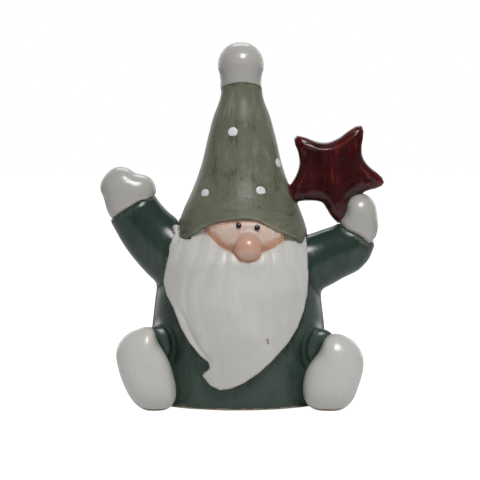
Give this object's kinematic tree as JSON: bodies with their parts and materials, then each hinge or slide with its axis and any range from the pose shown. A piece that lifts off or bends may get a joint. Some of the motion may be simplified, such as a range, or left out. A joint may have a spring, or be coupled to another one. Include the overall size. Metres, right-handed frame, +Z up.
{
  "type": "gnome figurine",
  "caption": "Seated bearded gnome figurine in glazed earthenware, one mitten raised and the other holding a star against its pointed hat.",
  "frame": {"origin": "middle of the figurine's footprint on the table: the centre of its box in X and Y, at the level it stands on", "axes": "+Z up towards the ball of the hat, the gnome looks along -Y, +X towards the gnome's own left, where the star is"},
  "size_m": [0.126, 0.0725, 0.16],
  "materials": {
    "pine_glaze": "gloss, dark pine green, hand brushed",
    "sage_glaze": "gloss, sage green, visible brush strokes",
    "white_glaze": "gloss, warm white",
    "cherry_glaze": "gloss, dark cherry red, streaked",
    "flesh_glaze": "gloss, peach, darker in the creases",
    "black_enamel": "gloss, raised black dots",
    "white_enamel": "gloss, raised white dots",
    "bare_biscuit": "unglazed, matt, buff"
  },
  "bodies": {
    "root": {"coat_shell": "pine_glaze", "left_sleeve": "pine_glaze", "right_sleeve": "pine_glaze", "left_leg": "pine_glaze", "right_leg": "pine_glaze", "base_plate": "bare_biscuit", "hat_shell": "sage_glaze", "pompom": "white_glaze", "beard": "white_glaze", "left_mitten": "white_glaze", "right_mitten": "white_glaze", "left_foot": "white_glaze", "right_foot": "white_glaze", "star": "cherry_glaze", "face": "flesh_glaze", "nose": "flesh_glaze", "left_eye": "black_enamel", "right_eye": "black_enamel", "hat_dot_1": "white_enamel", "hat_dot_2": "white_enamel", "hat_dot_3": "white_enamel", "hat_dot_4": "white_enamel", "hat_dot_5": "white_enamel", "hat_dot_6": "white_enamel", "hat_dot_7": "white_enamel", "hat_dot_8": "white_enamel", "hat_dot_9": "white_enamel", "hat_dot_10": "white_enamel"}
  },
  "joints": []
}
